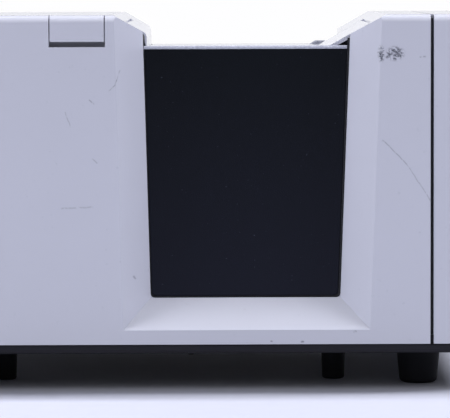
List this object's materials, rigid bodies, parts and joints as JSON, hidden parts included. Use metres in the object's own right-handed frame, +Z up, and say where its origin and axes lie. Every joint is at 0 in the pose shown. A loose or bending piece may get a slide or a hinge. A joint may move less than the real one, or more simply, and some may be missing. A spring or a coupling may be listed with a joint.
{
  "type": "colour spectrophotometer",
  "caption": "Bench colour spectrophotometer: painted towers beside a lidded sample compartment, an integrating sphere inside, a sprung sample clamp at one end, rubber feet.",
  "frame": {"origin": "middle of the whole box, on the surface that the feet stand on", "axes": "+X to the right seen from the front, +Y to the back, +Z up"},
  "size_m": [0.48, 0.32, 0.3],
  "materials": {
    "housing_paint": "satin pale blue-grey stoved paint",
    "lid_crinkle": "black crinkle paint",
    "black_paint": "black satin paint",
    "rubber": "black moulded rubber",
    "foam": "black cellular foam strip",
    "steel": "ground steel",
    "aluminium": "milled and brushed aluminium",
    "white_coating": "matt white diffuse coating",
    "clear_glass": "polished optical glass",
    "circuit_board": "green solder mask",
    "dark_plastic": "dark moulded plastic"
  },
  "bodies": {
    "case": {"main_cover": "housing_paint", "hatch_hinge_pin": "steel", "base_pan": "black_paint", "left_end_cover": "housing_paint", "right_end_cover": "housing_paint", "hinge_bridge": "housing_paint", "lid_hinge_pin": "steel", "interlock_cover": "housing_paint", "compartment_tray": "black_paint", "lid_seal": "foam", "front_rail": "steel", "back_rail": "steel", "optics_bench": "aluminium", "main_board": "circuit_board", "sphere_port_half": "white_coating", "sphere_lens_half": "white_coating", "sphere_stand": "aluminium", "plug_pivot_pin": "steel", "port_tube": "white_coating", "port_plate": "black_paint", "lamp_neck": "black_paint", "lamp_housing": "aluminium", "xenon_lamp": "clear_glass", "beam_tube": "black_paint", "window_ring": "black_paint", "lens_barrel": "black_paint", "objective_lens": "clear_glass", "spectrometer_case": "aluminium", "spectrometer_lid": "aluminium", "slit_plate": "black_paint", "grating": "aluminium", "detector_board": "circuit_board", "spectrometer_stand": "aluminium", "power_supply": "aluminium", "rear_panel": "black_paint", "fan_frame": "dark_plastic", "power_inlet": "dark_plastic", "data_connector": "aluminium", "clamp_bracket": "aluminium", "clamp_pin": "steel", "clamp_spring": "steel", "foot_front_left": "rubber", "foot_rear_left": "rubber", "foot_front_right": "rubber", "foot_rear_right": "rubber", "slim_foot_left": "rubber", "slim_foot_right": "rubber"},
    "lid": {"lid_front_plate": "lid_crinkle", "lid_top_plate": "housing_paint"},
    "hatch": {"top_hatch": "housing_paint"},
    "clamp": {"clamp_arm": "black_paint", "clamp_pad": "rubber"},
    "button": {"read_button": "dark_plastic"},
    "rocker": {"power_switch": "dark_plastic"},
    "fan": {"fan_rotor": "dark_plastic"},
    "filter": {"uv_filter_slide": "black_paint", "uv_filter_glass": "clear_glass"},
    "plug": {"specular_plug": "white_coating"},
    "carriage": {"holder_carriage": "black_paint"},
    "clip": {"holder_clip": "steel"}
  },
  "joints": [
    {"name": "lid_hinge", "type": "hinge", "parent": "case", "child": "lid", "pos_m": [0, 0.058, 0.267], "axis": [-1, 0, 0], "range_deg": [0, 92]},
    {"name": "hatch_hinge", "type": "hinge", "parent": "case", "child": "hatch", "pos_m": [-0.107, 0.0407, 0.2976], "axis": [-1, 0, 0], "range_deg": [0, 95]},
    {"name": "clamp_hinge", "type": "hinge", "parent": "case", "child": "clamp", "pos_m": [-0.2271, 0, 0.096], "axis": [0, -1, 0], "range_deg": [0, 65], "stiffness_Nm_per_rad": 0.25, "springref_deg": -28.65},
    {"name": "button_press", "type": "slide", "parent": "case", "child": "button", "axis": [1, 0, 0], "range_m": [0, 0.0015], "stiffness_N_per_m": 800, "springref_m": -0.0015},
    {"name": "power_rocker", "type": "hinge", "parent": "case", "child": "rocker", "pos_m": [-0.14, 0.153, 0.132], "axis": [1, 0, 0], "range_deg": [0, 12]},
    {"name": "fan_spin", "type": "hinge", "parent": "case", "child": "fan", "pos_m": [0.19, 0.145, 0.19], "axis": [0, 1, 0], "continuous": true},
    {"name": "filter_slide", "type": "slide", "parent": "case", "child": "filter", "axis": [0, -1, 0], "range_m": [0, 0.03]},
    {"name": "plug_swing", "type": "hinge", "parent": "case", "child": "plug", "pos_m": [-0.078, 0.0805, 0.158], "axis": [0, 0, 1], "range_deg": [0, 35]},
    {"name": "carriage_slide", "type": "slide", "parent": "case", "child": "carriage", "axis": [1, 0, 0], "range_m": [0, 0.095]},
    {"name": "clip_hinge", "type": "hinge", "parent": "carriage", "child": "clip", "pos_m": [0.0011, -0.016, 0.183], "axis": [0, -1, 0], "range_deg": [0, 25], "stiffness_Nm_per_rad": 0.05, "springref_deg": -17.19}
  ]
}
